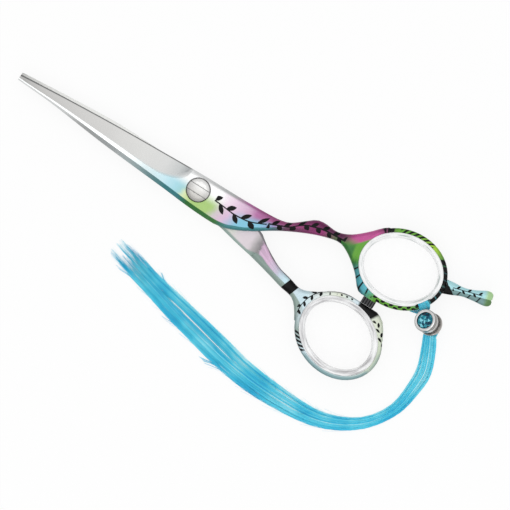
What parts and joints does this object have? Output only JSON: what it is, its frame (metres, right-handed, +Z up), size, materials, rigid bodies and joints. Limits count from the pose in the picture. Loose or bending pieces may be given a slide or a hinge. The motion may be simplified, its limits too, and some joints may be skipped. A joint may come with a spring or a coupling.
{
  "type": "thinning shears",
  "caption": "Hairdressing thinning shears with offset ring handles, clear ring inserts, a stop bumper, a finger rest and a hair-lock charm with a crystal bead.",
  "frame": {"origin": "on the pivot axis, at the underside of the pivot nut, which is the surface the shears lie on", "axes": "+X from the pivot towards the handles, +Y towards the finger ring, +Z up along the pivot axis towards the screw head"},
  "size_m": [0.1544, 0.0669, 0.0099],
  "materials": {
    "finger_steel": "polished steel with a printed colour finish on the shank",
    "thumb_steel": "polished steel with a printed colour finish on the shank",
    "pivot_steel": "turned and polished",
    "slip_plastic": "moulded",
    "bush_brass": "turned",
    "clear_insert": "clear soft plastic",
    "bumper_rubber": "ribbed",
    "rest_steel": "glossy colour finish",
    "charm_metal": "turned and plated",
    "crystal": "faceted",
    "hair": "straight dyed fibres"
  },
  "bodies": {
    "finger_half": {"finger_blade": "finger_steel", "slip_washer": "slip_plastic", "pivot_bush": "bush_brass", "bearing_disc": "slip_plastic", "finger_ring_insert": "clear_insert", "stop_bumper": "bumper_rubber", "finger_rest": "rest_steel", "hair_loop": "hair"},
    "thumb_half": {"thumb_blade": "thumb_steel", "pivot_nut": "pivot_steel", "thumb_ring_insert": "clear_insert"},
    "screw": {"pivot_screw": "pivot_steel"},
    "charm": {"charm_body": "charm_metal", "charm_bezel": "charm_metal", "charm_crystal": "crystal", "charm_crimp": "charm_metal", "hair_tail": "hair"}
  },
  "joints": [
    {"name": "blade_pivot", "type": "hinge", "parent": "finger_half", "child": "thumb_half", "pos_m": [0, 0, 0], "axis": [0, 0, -1], "range_deg": [0, 90]},
    {"name": "screw_turn", "type": "hinge", "parent": "thumb_half", "child": "screw", "pos_m": [0, 0, 0], "axis": [0, 0, 1], "range_deg": [-180, 180]},
    {"name": "charm_swing", "type": "hinge", "parent": "finger_half", "child": "charm", "pos_m": [0.07648, 0.0057, 0], "axis": [0, 0, 1], "range_deg": [-10, 40]}
  ]
}
